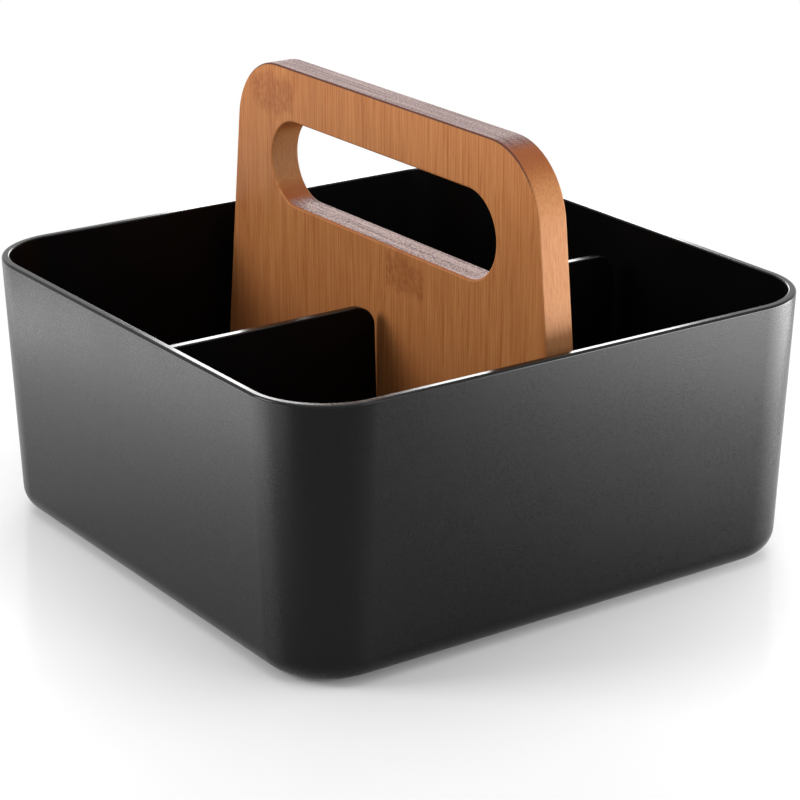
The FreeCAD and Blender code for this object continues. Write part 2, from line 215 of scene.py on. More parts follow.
class Finishes(bpy.types.PropertyGroup):
    plastic: colour("Plastic", "Colour of the tub and the dividers", (0.0024, 0.0024, 0.0025))
    bamboo_light: colour("Bamboo, light", "Lighter fibres of the board", (0.51, 0.212, 0.069))
    bamboo_dark: colour("Bamboo, dark", "Darker fibres of the board", (0.37, 0.118, 0.032))
    # this colour also darkens the board's faces low down, as painted shade
    bamboo_knuckle: colour(
        "Bamboo, knuckle", "Mottled patches, stains and glue lines", (0.27, 0.078, 0.022)
    )
    bamboo_side: colour(
        "Bamboo, side",
        "Ground of the narrow sides and the ends of the hand hole",
        (0.46, 0.225, 0.105),
    )
    bamboo_edge: colour(
        "Bamboo, edge", "Edges that turn towards the end grain", (0.30, 0.078, 0.020)
    )
    # the end grain's grounds are partly the wood's own brown and partly painted sheen: mauve on
    # top, paler in the hand hole
    end_light: colour("End grain, light", "Ground of the end grain on top", (0.27, 0.148, 0.128))
    end_pale: colour(
        "End grain, pale", "Ground of the end grain in the hand hole", (0.44, 0.275, 0.240)
    )
    end_dark: colour("End grain, dark", "Fibre ends in the end grain", (0.060, 0.016, 0.015))
    steel: colour("Steel", "Plated steel of the screws", (0.62, 0.61, 0.58))
    rubber: colour("Rubber", "Rubber of the feet", (0.028, 0.028, 0.030))
    strip: length("Strip width", "Width of one bamboo strip", 0.0283)


class StageSettings(bpy.types.PropertyGroup):
    eye: vector("Eye", "Place of the camera", (-0.5239, -0.7590, 0.3879))
    target: vector("Target", "Point that the camera looks at", (0.0790, 0.1078, 0.001))
    lens: number("Lens", "Focal length in millimetres", 118.91)
    fill: number("Fill", "Strength of the even light from all round", 0.45)
    floor_half: length("Floor half width", "Half the width of the floor", 4.0)


# --- Meshes ---


def new_object(name, data):
    piece = bpy.data.objects.new(name, data)
    bpy.context.scene.collection.objects.link(piece)
    return piece


def remove_object(piece):
    mesh = piece.data
    bpy.data.objects.remove(piece)
    if mesh is not None and mesh.users == 0:
        bpy.data.meshes.remove(mesh)


def settled(piece, name):
    """A plain mesh of the object with its modifiers worked out; the object itself goes."""
    graph = bpy.context.evaluated_depsgraph_get()
    mesh = bpy.data.meshes.new_from_object(piece.evaluated_get(graph))
    mesh.name = name
    remove_object(piece)
    return mesh


def raise_mesh(mesh, height):
    for vertex in mesh.vertices:
        vertex.co.z += height


def add_boolean(piece, tool, operation):
    boolean = piece.modifiers.new(tool.name, "BOOLEAN")
    boolean.object = tool
    boolean.operation = operation
    boolean.solver = "EXACT"


def bend(centre, radius, start, end, steps):
    """Points of an arc in a plane, from one angle to another."""
    angles = [start + (end - start) * i / steps for i in range(steps + 1)]
    return [(centre[0] + radius * math.cos(a), centre[1] + radius * math.sin(a)) for a in angles]


def skin(bm, loops):
    """Quads between loops of equal length; each loop is a closed ring of vertices."""
    faces = []
    for low, high in zip(loops, loops[1:]):
        for i in range(len(low)):
            j = (i + 1) % len(low)
            faces.append(bm.faces.new((low[i], low[j], high[j], high[i])))
    return faces


def finished_mesh(bm, name):
    bmesh.ops.recalc_face_normals(bm, faces=bm.faces)
    mesh = bpy.data.meshes.new(name)
    bm.to_mesh(mesh)
    bm.free()
    return mesh


def lathe(name, profile, steps):
    """A shape turned about the Z axis; its (radius, height) profile starts and ends on the axis."""
    bm = bmesh.new()
    first = bm.verts.new((0, 0, profile[0][1]))
    last = bm.verts.new((0, 0, profile[-1][1]))
    rings = []
    for radius, height in profile[1:-1]:
        points = bend((0, 0), radius, 0, 2 * math.pi * (steps - 1) / steps, steps - 1)
        rings.append([bm.verts.new((x, y, height)) for x, y in points])
    skin(bm, rings)
    for pole, ring in ((first, rings[0]), (last, rings[-1])):
        for i in range(steps):
            bm.faces.new((pole, ring[i], ring[(i + 1) % steps]))
    return finished_mesh(bm, name)


def drum(name, radius, low, high, steps):
    """A plain cylinder about the Z axis."""
    return lathe(name, [(0, low), (radius, low), (radius, high), (0, high)], steps)


def block(across, along, low, high):
    """A box about the Z axis, as a bmesh."""
    bm = bmesh.new()
    bmesh.ops.create_cube(bm, size=1.0)
    for v in bm.verts:
        v.co = (v.co.x * across, v.co.y * along, high if v.co.z > 0 else low)
    return bm


def bar(name, size, crest):
    """A rib that stands on z = 0 and reaches a little below it, with its upper edges rounded."""
    bm = block(size[0], size[1], -OVERLAP, size[2])
    top = [e for e in bm.edges if all(v.co.z > 0 for v in e.verts)]
    bmesh.ops.bevel(bm, geom=top, offset=crest, segments=4, profile=0.5, affect="EDGES")
    return finished_mesh(bm, name)


def settle_normals(mesh, flats):
    """Flat faces keep their own direction, and the rounds beside them blend into it."""
    same_direction = 0.999998
    fold = math.cos(math.radians(35))
    mesh.shade_smooth()
    bm = bmesh.new()
    bm.from_mesh(mesh)
    bm.faces.ensure_lookup_table()
    flat = {}
    for face in bm.faces:
        for direction in flats:
            if face.normal.dot(direction) > same_direction:
                flat[face.index] = direction
                break
    normals = [UP] * len(mesh.loops)
    for polygon in mesh.polygons:
        face = bm.faces[polygon.index]
        for loop_index, vertex_index in zip(polygon.loop_indices, polygon.vertices):
            own = flat.get(face.index)
            if own is None:
                vertex = next(v for v in face.verts if v.index == vertex_index)
                near = [f for f in vertex.link_faces if f.normal.dot(face.normal) > fold]
                held = [flat[f.index] for f in near if f.index in flat]
                if held:
                    own = max(held, key=face.normal.dot)
                else:
                    own = sum((f.normal * f.calc_area() for f in near), Vector()).normalized()
            normals[loop_index] = own
    bm.free()
    mesh.normals_split_custom_set(normals)


# --- Repeats ---


def repeat_tree(points, sizes):
    """The tree that puts a part on points; points(tree, inputs) makes them from named sizes."""
    name = "repeat_" + points.__name__
    tree = bpy.data.node_groups.get(name)
    if tree is not None:
        return tree
    tree = bpy.data.node_groups.new(name, "GeometryNodeTree")
    face, new, link = tree.interface, tree.nodes.new, tree.links.new
    for label in sizes:
        face.new_socket(name=label, in_out="INPUT", socket_type="NodeSocketFloat")
    face.new_socket(name="Part", in_out="INPUT", socket_type="NodeSocketObject")
    face.new_socket(name="Finish", in_out="INPUT", socket_type="NodeSocketMaterial")
    face.new_socket(name="Geometry", in_out="OUTPUT", socket_type="NodeSocketGeometry")
    inputs = new("NodeGroupInput")
    source = new("GeometryNodeObjectInfo")
    source.inputs["As Instance"].default_value = True
    link(inputs.outputs["Part"], source.inputs["Object"])
    copies = new("GeometryNodeInstanceOnPoints")
    link(points(tree, inputs), copies.inputs["Points"])
    link(source.outputs["Geometry"], copies.inputs["Instance"])
    real = new("GeometryNodeRealizeInstances")
    link(copies.outputs["Instances"], real.inputs["Geometry"])
    finish = new("GeometryNodeSetMaterial")
    link(real.outputs["Geometry"], finish.inputs["Geometry"])
    link(inputs.outputs["Finish"], finish.inputs["Material"])
    link(finish.outputs["Geometry"], new("NodeGroupOutput").inputs["Geometry"])
    return tree


def times(tree, size, factor):
    product = tree.nodes.new("ShaderNodeMath")
    product.operation = "MULTIPLY"
    product.inputs[1].default_value = factor
    tree.links.new(size, product.inputs[0])
    return product.outputs[0]


def at_four_corners(tree, inputs):
    """Points at (Across, Along) mirrored in both middle planes."""
    grid = tree.nodes.new("GeometryNodeMeshGrid")
    grid.inputs["Vertices X"].default_value = 2
    grid.inputs["Vertices Y"].default_value = 2
    for label, side in (("Across", "Size X"), ("Along", "Size Y")):
        tree.links.new(times(tree, inputs.outputs[label], 2.0), grid.inputs[side])
    return grid.outputs["Mesh"]


def in_a_row(tree, inputs):
    """Three points along Y, the middle one on the axis, Spacing apart."""
    line = tree.nodes.new("GeometryNodeMeshLine")
    line.inputs["Count"].default_value = 3
    for socket, factor in (("Start Location", -1.0), ("Offset", 1.0)):
        place = tree.nodes.new("ShaderNodeCombineXYZ")
        tree.links.new(times(tree, inputs.outputs["Spacing"], factor), place.inputs["Y"])
        tree.links.new(place.outputs[0], line.inputs[socket])
    return line.outputs["Mesh"]


def repeated(name, points, part_mesh, finish, **sizes):
    """The mesh that a repeat tree makes of one part, with its copies made real."""
    tree = repeat_tree(points, sizes)
    part = new_object(name + "_part", part_mesh)
    host = new_object(name + "_host", bpy.data.meshes.new(name + "_host"))
    modifier = host.modifiers.new("repeat", "NODES")
    modifier.node_group = tree
    values = {**sizes, "Part": part, "Finish": finish}
    for item in tree.interface.items_tree:
        if item.in_out == "INPUT":
            modifier[item.identifier] = values[item.name]
    mesh = settled(host, name)
    remove_object(part)
    return mesh


# --- Outlines and plates ---


def rounded_corners(corners, radii):
    """Centre, start angle, end angle and radius of the arc at each corner, anticlockwise."""
    arcs = []
    count = len(corners)
    for i, radius in enumerate(radii):
        here = Vector(corners[i])
        along = (here - Vector(corners[i - 1])).normalized()
        onward = (Vector(corners[(i + 1) % count]) - here).normalized()
        before = Vector((along.y, -along.x))
        after = Vector((onward.y, -onward.x))
        centre = here - (before + after) * radius / (1 + before.dot(after))
        start = math.atan2(before.y, before.x)
        sweep = math.acos(max(-1.0, min(1.0, before.dot(after))))
        arcs.append((centre, start, start + sweep, radius))
    return arcs


def outline(arcs, grow):
    """Points of an outline of arcs, moved outwards by grow."""
    points = []
    for centre, start, end, radius in arcs:
        steps = max(3, round((end - start) / OUTLINE_STEP))
        points += bend(centre, radius + grow, start, end, steps)
    return points


def edge_directions(arcs):
    """Outward directions of the straight runs between arcs."""
    return [(math.cos(end), math.sin(end)) for _, _, end, _ in arcs]


def plate(name, arcs, thickness, edge_round, place, hole=None, hole_round=0.0):
    """A flat plate with rounded edges; place(u, v, w) puts outline point (u, v) at depth w."""
    bm = bmesh.new()
    face_loops = ([], [])
    for shape, round_off, way in ((arcs, edge_round, 1), (hole, hole_round, -1)):
        if shape is None:
            continue
        rows = []
        for side in (-1, 1):
            for k in range(EDGE_STEPS + 1):
                share = k / EDGE_STEPS
                turn = QUARTER_TURN * (share if side > 0 else 1 - share)
                depth = side * (thickness / 2 - round_off * (1 - math.sin(turn)))
                rows.append((depth, -way * round_off * (1 - math.cos(turn))))
        loops = []
        for depth, grow in rows:
            loops.append([bm.verts.new(place(u, v, depth)) for u, v in outline(shape, grow)])
        skin(bm, loops)
        face_loops[0].append(loops[0])
        face_loops[1].append(loops[-1])
    for loops in face_loops:
        edges = []
        for loop in loops:
            edges += [bm.edges.get((loop[i - 1], loop[i])) for i in range(len(loop))]
        bmesh.ops.triangle_fill(bm, edges=edges, use_beauty=True)
    return finished_mesh(bm, name)


# --- Finishes ---


class Shader:
    """Short ways to add nodes to a material's tree; a value that is a socket is linked."""

    def __init__(self, name):
        self.material = bpy.data.materials.new(name)
        self.material.use_nodes = True
        self.tree = self.material.node_tree
        self.tree.nodes.clear()

    def node(self, kind, inputs=None, **settings):
        made = self.tree.nodes.new(kind)
        for key, setting in settings.items():
            setattr(made, key, setting)
        for key, given in (inputs or {}).items():
            if isinstance(given, bpy.types.NodeSocket):
                self.tree.links.new(given, made.inputs[key])
            else:
                made.inputs[key].default_value = given
        return made

    def place(self):
        return self.node("ShaderNodeTexCoord").outputs["Object"]

    def normal(self):
        return self.node("ShaderNodeNewGeometry").outputs["Normal"]

    def axes(self, vector):
        outputs = self.node("ShaderNodeSeparateXYZ", {0: vector}).outputs
        return outputs["X"], outputs["Y"], outputs["Z"]

    def noise(self, vector, scale, detail, roughness):
        """Noise of one scale to the metre, or of one scale along each axis."""
        if isinstance(scale, tuple):
            stretched = self.node("ShaderNodeMapping", {"Vector": vector, "Scale": scale})
            vector, scale = stretched.outputs[0], 1.0
        inputs = {"Vector": vector, "Scale": scale, "Detail": detail, "Roughness": roughness}
        return self.node("ShaderNodeTexNoise", inputs).outputs[0]

    def math(self, operation, a, b=0.0, c=0.0, clamp=False):
        made = self.node("ShaderNodeMath", {0: a, 1: b, 2: c}, operation=operation, use_clamp=clamp)
        return made.outputs[0]

    def ramp(self, value, low, high, to_low=0.0, to_high=1.0):
        """A smooth step from to_low to to_high, as the value goes from low to high."""
        inputs = {"Value": value, "From Min": low, "From Max": high}
        inputs.update({"To Min": to_low, "To Max": to_high})
        return self.node("ShaderNodeMapRange", inputs, interpolation_type="SMOOTHSTEP").outputs[0]

    def mix(self, factor, a, b):
        made = self.node("ShaderNodeMix", data_type="RGBA")
        for index, given in ((0, factor), (6, a), (7, b)):
            if isinstance(given, bpy.types.NodeSocket):
                self.tree.links.new(given, made.inputs[index])
            else:
                made.inputs[index].default_value = opaque(given)
        return made.outputs[2]

    def bump(self, height, strength, distance):
        inputs = {"Height": height, "Strength": strength, "Distance": distance}
        return self.node("ShaderNodeBump", inputs).outputs[0]

    def finish(self, **inputs):
        named = {key.replace("_", " "): given for key, given in inputs.items()}
        return self.end(self.node("ShaderNodeBsdfPrincipled", named))

    def end(self, surface):
        self.node("ShaderNodeOutputMaterial", {"Surface": surface.outputs[0]})
        return self.material


def opaque(rgb):
    return (*rgb, 1.0)


def toned(rgb, factor):
    return [c * factor for c in rgb]


def grained_plastic(finishes):
    """The spark-eroded finish of the tub's outside."""
    shader = Shader("plastic_grained")
    place = shader.place()
    grain = shader.noise(place, 1500.0, 2.0, 0.6)
    drift = shader.noise(place, 34.0, 3.0, 0.55)
    dull = toned(finishes.plastic, 0.86)
    rough = shader.ramp(grain, 0.3, 0.7, 0.26, 0.32)
    uneven = shader.ramp(drift, 0.3, 0.7, -0.012, 0.012)
    return shader.finish(
        Base_Color=shader.mix(shader.ramp(drift, 0.3, 0.7), dull, finishes.plastic),
        Roughness=shader.math("ADD", rough, uneven),
        Normal=shader.bump(grain, 0.22, 0.00012),
        Specular_IOR_Level=0.165,
    )


def polished_plastic(finishes):
    """The rim, where the mould is polished."""
    shader = Shader("plastic_polished")
    place = shader.place()
    drift = shader.noise(place, 90.0, 3.0, 0.6)
    fine = shader.noise(place, 900.0, 2.0, 0.5)
    return shader.finish(
        Base_Color=opaque(finishes.plastic),
        Roughness=shader.ramp(drift, 0.25, 0.75, 0.13, 0.19),
        Normal=shader.bump(fine, 0.05, 0.0001),
        Specular_IOR_Level=0.23,
    )


def satin_plastic(finishes):
    """The tub's inside, duller than the outside and with less grain."""
    shader = Shader("plastic_satin")
    place = shader.place()
    drift = shader.noise(place, 40.0, 3.0, 0.6)
    fine = shader.noise(place, 1200.0, 2.0, 0.5)
    return shader.finish(
        Base_Color=opaque(toned(finishes.plastic, INSIDE_TONE)),
        Roughness=shader.ramp(drift, 0.3, 0.7, 0.33, 0.39),
        Normal=shader.bump(fine, 0.12, 0.0001),
        Specular_IOR_Level=0.09,
    )


def divider_plastic(finishes, name, specular):
    """A divider's plastic, smoothest where it faces up."""
    shader = Shader(name)
    fine = shader.noise(shader.place(), 1200.0, 2.0, 0.5)
    _, _, upward = shader.axes(shader.normal())
    return shader.finish(
        Base_Color=opaque(toned(finishes.plastic, INSIDE_TONE)),
        Roughness=shader.ramp(upward, 0.55, 0.9, 0.40, 0.15),
        Normal=shader.bump(fine, 0.1, 0.0001),
        Specular_IOR_Level=specular,
    )


def bamboo_strips(shader, along, width):
    """A tone for each upright strip, and the thin glue line on its border."""
    low, high = STRIP_RANGE
    inside = shader.node("ShaderNodeClamp", {"Value": along, "Min": low, "Max": high}).outputs[0]
    strip = shader.math("DIVIDE", shader.math("SUBTRACT", inside, STRIP_START), width)
    which = shader.math("FLOOR", strip)
    tone = shader.node("ShaderNodeTexWhiteNoise", {"W": which}, noise_dimensions="1D")
    border = shader.math("SUBTRACT", shader.math("FRACT", strip), 0.5)
    glue = shader.ramp(shader.math("ABSOLUTE", border), 0.490, 0.499, 0.0, 0.16)
    return tone.outputs["Value"], glue


def bamboo_fibres(shader, place, strip_tone, finishes):
    """The colour of soft streaks with thin darker vessels in them, and the vessels."""
    streaks = shader.noise(place, (1450, 1450, 13), 3.0, 0.66)
    vessels = shader.noise(place, (1900, 1900, 36), 3.0, 0.7)
    streaks = shader.ramp(streaks, 0.28, 0.72, 0.24, 0.90)
    light = shader.math("MULTIPLY_ADD", strip_tone, 0.22, streaks)
    dark = shader.ramp(vessels, 0.50, 0.66, 0.0, 1.05)
    tone = shader.math("SUBTRACT", light, dark, clamp=True)
    return shader.mix(tone, finishes.bamboo_dark, finishes.bamboo_light), vessels


def bamboo_knuckles(shader, place):
    """The strength of each mottled patch, where a cane had its joint."""
    through, along, up = shader.axes(place)
    wander = shader.noise(place, (130, 130, 60), 3.0, 0.6)
    mottle = shader.ramp(shader.noise(place, (800, 800, 420), 3.0, 0.7), 0.40, 0.62, 0.26, 0.76)
    amounts = []
    for side, start, end, height, half in KNUCKLES:
        middle, reach = (start + end) / 2, (end - start) / 2
        aside = shader.math("ABSOLUTE", shader.math("SUBTRACT", along, middle))
        level = shader.math("SUBTRACT", up, height + KNUCKLE_WANDER / 2)
        level = shader.math("MULTIPLY_ADD", wander, KNUCKLE_WANDER, level)
        amount = mottle
        for share in (
            shader.ramp(aside, reach, reach - KNUCKLE_BORDER),
            shader.ramp(shader.math("ABSOLUTE", level), half, half * 0.45),
            shader.ramp(shader.math("MULTIPLY", through, side), 0.0, MILLIMETRE),
        ):
            amount = shader.math("MULTIPLY", amount, share)
        amounts.append(amount)
    return amounts


def bamboo_end_grain(shader, place, up, finishes):
    """The colour of dots in lines along the board, the dots, and where the ground shows."""
    dots = shader.noise(place, (2100, 1100, 60), 3.0, 0.75)
    lines = shader.noise(place, (1000, 16, 5), 2.0, 0.6)
    both = shader.math("MULTIPLY_ADD", lines, 0.32, shader.math("MULTIPLY", dots, 0.72))
    shown = shader.ramp(both, 0.42, 0.60)
    # painted sheen: the ground is paler in the hand hole and mauve on top, in place of the glancing
    # back light; the brown under it is the wood's own
    ground = shader.mix(shader.ramp(up, *TOP_GRAIN), finishes.end_pale, finishes.end_light)
    return shader.mix(shown, finishes.end_dark, ground), dots, shown


def bamboo(finishes):
    """Laminated bamboo: strips of upright fibres, knuckles, and dotted end grain on top."""
    shader = Shader("bamboo_laminated")
    place = shader.place()
    _, along, up = shader.axes(place)
    # how far a face is turned left or right, along the board, and up or down
    turns = shader.axes(shader.normal())
    across, beside, level = [shader.math("ABSOLUTE", turn) for turn in turns]

    strip_tone, glue = bamboo_strips(shader, along, finishes.strip)
    face, vessels = bamboo_fibres(shader, place, strip_tone, finishes)
    stains = shader.ramp(shader.noise(place, (75, 75, 16), 4.0, 0.62), 0.42, 0.75, 0.0, 0.32)
    # painted shade: the faces darken towards the bottom, mixed towards the knuckle colour, where
    # the tub shades the board
    low_painted_shade = shader.ramp(up, *LOW_PAINTED_SHADE, 0.0, 0.46)
    for amount in (stains, low_painted_shade, *bamboo_knuckles(shader, place), glue):
        face = shader.mix(amount, face, finishes.bamboo_knuckle)
    face = shader.mix(shader.ramp(beside, 0.6, 0.95, 0.0, 0.45), face, finishes.bamboo_side)
    face = shader.mix(shader.ramp(level, 0.50, 0.90, 0.0, 0.85), face, finishes.bamboo_edge)

    end, dots, shown = bamboo_end_grain(shader, place, up, finishes)
    is_end = shader.ramp(level, 0.90, 0.995)
    fold = shader.ramp(shader.math("MULTIPLY", across, level), 0.12, 0.42, 0.0, 0.9)
    fold = shader.math("MULTIPLY", fold, shader.ramp(up, *TOP_FOLD))
    rough = shader.ramp(level, 0.90, 0.995, 0.50, 0.54)
    uneven = shader.ramp(shown, 0.0, 1.0, 0.05, -0.03)
    return shader.finish(
        Base_Color=shader.mix(fold, shader.mix(is_end, face, end), finishes.end_dark),
        Roughness=shader.math("ADD", rough, uneven),
        Normal=shader.bump(shader.mix(is_end, vessels, dots), 0.22, 0.00014),
        Specular_IOR_Level=0.16,
    )


def plated_steel(finishes):
    shader = Shader("steel_plated")
    worn = shader.noise(shader.place(), 800.0, 3.0, 0.6)
    dull = toned(finishes.steel, 0.82)
    return shader.finish(
        Base_Color=shader.mix(shader.ramp(worn, 0.3, 0.7), dull, finishes.steel),
        Metallic=1.0,
        Roughness=shader.ramp(worn, 0.3, 0.7, 0.24, 0.38),
        Normal=shader.bump(worn, 0.1, 0.00005),
    )


def rubber(finishes):
    shader = Shader("rubber_grey")
    place = shader.place()
    fine = shader.noise(place, 2200.0, 3.0, 0.6)
    dust = shader.ramp(shader.noise(place, 260.0, 3.0, 0.6), 0.35, 0.75)
    return shader.finish(
        Base_Color=shader.mix(dust, finishes.rubber, toned(finishes.rubber, 1.7)),
        Roughness=0.78,
        Normal=shader.bump(fine, 0.3, 0.0001),
    )


def seen_directly(tree):
    """A socket that is 1 for camera, glossy and transmission rays, and 0 for the light's own."""
    paths = tree.nodes.new("ShaderNodeLightPath").outputs
    seen = paths["Is Camera Ray"]
    for label in ("Is Glossy Ray", "Is Transmission Ray"):
        either = tree.nodes.new("ShaderNodeMath")
        either.operation = "MAXIMUM"
        tree.links.new(seen, either.inputs[0])
        tree.links.new(paths[label], either.inputs[1])
        seen = either.outputs[0]
    return seen


def studio_floor():
    """White and lightly glossy; it keeps the shadow, and fades to plain white further out."""
    shader = Shader("studio_floor")
    across, along, _ = shader.axes(shader.place())
    squares = []
    for part in (across, along):
        beside = shader.math("SUBTRACT", shader.math("ABSOLUTE", part), FADE_SQUARE)
        beside = shader.math("MAXIMUM", beside, 0.0)
        squares.append(shader.math("MULTIPLY", beside, beside))
    away = shader.math("SQRT", shader.math("ADD", *squares))
    fade = shader.math("MULTIPLY", shader.ramp(away, *FADE), seen_directly(shader.tree))
    surface = shader.node(
        "ShaderNodeBsdfPrincipled",
        {"Base Color": opaque((0.9, 0.9, 0.9)), "Roughness": 0.14, "Specular IOR Level": 0.2},
    )
    white = shader.node("ShaderNodeEmission", {"Color": opaque((1, 1, 1)), "Strength": 1.0})
    inputs = {0: fade, 1: surface.outputs[0], 2: white.outputs[0]}
    return shader.end(shader.node("ShaderNodeMixShader", inputs))


def studio_world(fill):
    """White where it is seen directly, and otherwise an even light of the strength fill."""
    world = bpy.data.worlds.new("studio")
    world.use_nodes = True
    tree = world.node_tree
    tree.nodes.clear()
    new, link = tree.nodes.new, tree.links.new
    strength = new("ShaderNodeMapRange")
    strength.inputs["To Min"].default_value = fill
    strength.inputs["To Max"].default_value = 1.0
    link(seen_directly(tree), strength.inputs["Value"])
    background = new("ShaderNodeBackground")
    background.inputs["Color"].default_value = opaque((1, 1, 1))
    link(strength.outputs[0], background.inputs["Strength"])
    link(background.outputs[0], new("ShaderNodeOutputWorld").inputs["Surface"])
    return world


# --- Pieces ---


def tub_directions(draft):
    """Outward directions of the tub's four outer walls, its four inner walls and its flats."""
    side, fall = math.cos(draft), math.sin(draft)
    outer = [Vector((side * x, side * y, -fall)) for x, y in ((1, 0), (-1, 0), (0, 1), (0, -1))]
    return outer + [-d for d in outer] + [UP, DOWN]


def inside_at_floor(tub):
    """The floor's height, and how far out the straight inner walls would meet it."""
    height = tub.base + tub.floor
    return height, tub.width / 2 - tub.wall - (tub.rim - height) * math.tan(tub.draft)


def tub_profile(tub):
    """The tub's section as (reach, height, zone) rows, from the underside round to the floor."""
    draft = tub.draft
    slope, lean, fall = math.tan(draft), math.cos(draft), math.sin(draft)
    half = tub.width / 2
    foot = half - (tub.rim - tub.base) * slope
    floor_top, inner_foot = inside_at_floor(tub)
    foot_out, foot_in = tub.outer_base, tub.inner_base
    lip_out, lip_in = tub.outer_lip, tub.inner_lip
    down, level, up = -QUARTER_TURN, -draft, QUARTER_TURN

    def inward(radius):
        """How far a round's centre stands from where the wall meets the flat."""
        return radius * (1 - fall) / lean

    # reach and height of the centre, radius, start, end, steps and zone of each round
    rounds = (
        (foot - inward(foot_out), tub.base + foot_out, foot_out, down, level, 14, OUTSIDE),
        (half - lip_out * (1 + fall) / lean, tub.rim - lip_out, lip_out, level, up, 8, LIP),
        (half - tub.wall + inward(lip_in), tub.rim - lip_in, lip_in, up, math.pi - draft, 8, LIP),
        (inner_foot - inward(foot_in), floor_top + foot_in, foot_in, level, down, 12, INSIDE),
    )
    rows = []
    for reach, height, radius, start, end, steps, zone in rounds:
        arc = bend((reach, height), radius, start, end, steps)
        rows += [(x, z, zone) for x, z in arc]
    return rows


def tub_shell(tub):
    """Rounded-square rings lofted along the section, closed under the floor and on it."""
    bm = bmesh.new()
    corner = tub.width / 2 - tub.corner
    loops = []
    rows = tub_profile(tub)
    for reach, height, _ in rows:
        loop = []
        for quarter, (side_x, side_y) in enumerate(QUARTERS):
            start = quarter * QUARTER_TURN
            centre = (side_x * corner, side_y * corner)
            for x, y in bend(centre, reach - corner, start, start + QUARTER_TURN, RING_STEPS):
                loop.append(bm.verts.new((x, y, height)))
        loops.append(loop)
    per_row = len(loops[0])
    for index, face in enumerate(skin(bm, loops)):
        row = index // per_row
        low, high = rows[row][2], rows[row + 1][2]
        face.material_index = low if high == LIP else high
    bm.faces.new(loops[0]).material_index = OUTSIDE
    bm.faces.new(loops[-1]).material_index = INSIDE
    return finished_mesh(bm, "tub_shell")


class CADDY_OT_make_tub(bpy.types.Operator):
    """Make the tub with its floor ribs, screw holes and foot recesses"""

    bl_idname = "caddy.make_tub"
    bl_label = "Make Tub"

    def execute(self, context):
        scene = context.scene
        tub, board, divider = scene.caddy_tub, scene.caddy_board, scene.caddy_dividers
        fasteners, finishes = scene.caddy_fasteners, scene.caddy_finishes
        satin = satin_plastic(finishes)
        materials = (grained_plastic(finishes), polished_plastic(finishes), satin)
        floor_top = tub.base + tub.floor
        shell = new_object("tub_shell", tub_shell(tub))
        for material in materials:
            shell.data.materials.append(material)
        tools = []

        def add_tool(mesh, operation, height):
            """Join a mesh to the shell or cut it out, and finish what it leaves as the inside."""
            raise_mesh(mesh, height)
            mesh.materials.clear()
            for material in materials:
                mesh.materials.append(material)
            for polygon in mesh.polygons:
                polygon.material_index = INSIDE
            tools.append(new_object(mesh.name, mesh))
            add_boolean(shell, tools[-1], operation)

        slot = divider.thickness / 2 + divider.slot_gap
        for name, rib, across, along in (
            ("board_rib", tub.board_rib, board.thickness / 2, tub.board_rib_start),
            ("divider_rib", tub.divider_rib, tub.divider_rib_start, slot),
        ):
            mesh = repeated(
                name + "s",
                at_four_corners,
                bar(name, rib, tub.rib_round),
                satin,
                Across=across + rib[0] / 2,
                Along=along + rib[1] / 2,
            )
            add_tool(mesh, "UNION", floor_top)

        shank = fasteners.shank + fasteners.clearance
        head = fasteners.head + fasteners.clearance
        profile = [
            (0, -OVERLAP),
            (head + OVERLAP, -OVERLAP),
            (shank, head - shank),
            (shank, tub.floor + OVERLAP),
            (0, tub.floor + OVERLAP),
        ]
        hole = lathe("screw_hole", profile, SCREW_STEPS)
        mesh = repeated("screw_holes", in_a_row, hole, satin, Spacing=fasteners.spacing)
        add_tool(mesh, "DIFFERENCE", tub.base)
        radius = fasteners.foot + fasteners.foot_clearance
        depth = fasteners.foot_thickness - tub.base
        mesh = repeated(
            "foot_recesses",
            at_four_corners,
            drum("foot_recess", radius, -OVERLAP, depth, FOOT_STEPS),
            satin,
            Across=fasteners.foot_place,
            Along=fasteners.foot_place,
        )
        add_tool(mesh, "DIFFERENCE", tub.base)

        mesh = settled(shell, "tub")
        for tool in tools:
            remove_object(tool)
        settle_normals(mesh, tub_directions(tub.draft))
        piece = new_object("tub_moulding", mesh)
        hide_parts("tub")
        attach(piece, "caddy")
        return {"FINISHED"}


def board_arcs(tub, board):
    """The rounded corners of the board's outline, seen along the X axis."""
    floor_top, reach = inside_at_floor(tub)
    foot = reach - board.side_gap
    knee = foot + (board.knee - floor_top) * math.tan(tub.draft)
    top = knee - (board.top - board.knee) * math.tan(board.taper)
    right = [(foot, floor_top), (knee, board.knee), (top, board.top)]
    corners = right + [(-y, z) for y, z in reversed(right)]
    radii = [board.foot_corner, board.knee_round, board.top_corner]
    return rounded_corners(corners, radii + radii[::-1])


